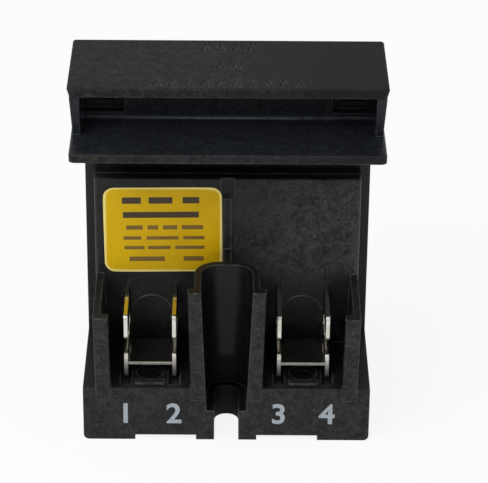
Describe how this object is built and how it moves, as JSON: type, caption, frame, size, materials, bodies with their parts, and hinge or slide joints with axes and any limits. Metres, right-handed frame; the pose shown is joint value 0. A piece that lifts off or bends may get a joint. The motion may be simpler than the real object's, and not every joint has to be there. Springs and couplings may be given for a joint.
{
  "type": "disconnect pull-out head",
  "caption": "Pull-out jumper head of an AC disconnect: a black moulded handle and flange over a contact carrier with plated forked blades.",
  "frame": {"origin": "centre of the footprint, on the plane of the feet", "axes": "+Z the way the head is pulled, -Y towards the LOAD side, +X to the right seen from the LOAD side"},
  "size_m": [0.0782, 0.0636, 0.0894],
  "materials": {
    "handle_plastic": "moulded black thermoset, fine texture",
    "plate_plastic": "moulded black thermoset",
    "carrier_plastic": "moulded black thermoset, slightly glossy inside",
    "plated_copper": "tin plated copper, rolled and sheared",
    "plated_bridge": "tin plated copper",
    "zinc_steel": "zinc plated steel",
    "label_film": "yellow printed film"
  },
  "bodies": {
    "root": {"pull_handle": "handle_plastic", "guide_plate": "plate_plastic", "load_carrier": "carrier_plastic", "line_carrier": "carrier_plastic", "rating_label": "label_film", "blade_left_outer": "plated_copper", "blade_left_inner": "plated_copper", "blade_right_inner": "plated_copper", "blade_right_outer": "plated_copper", "bridge_left_load": "plated_bridge", "bridge_left_line": "plated_bridge", "bridge_right_load": "plated_bridge", "bridge_right_line": "plated_bridge", "clamp_screw_left": "zinc_steel", "clamp_screw_right": "zinc_steel"}
  },
  "joints": []
}
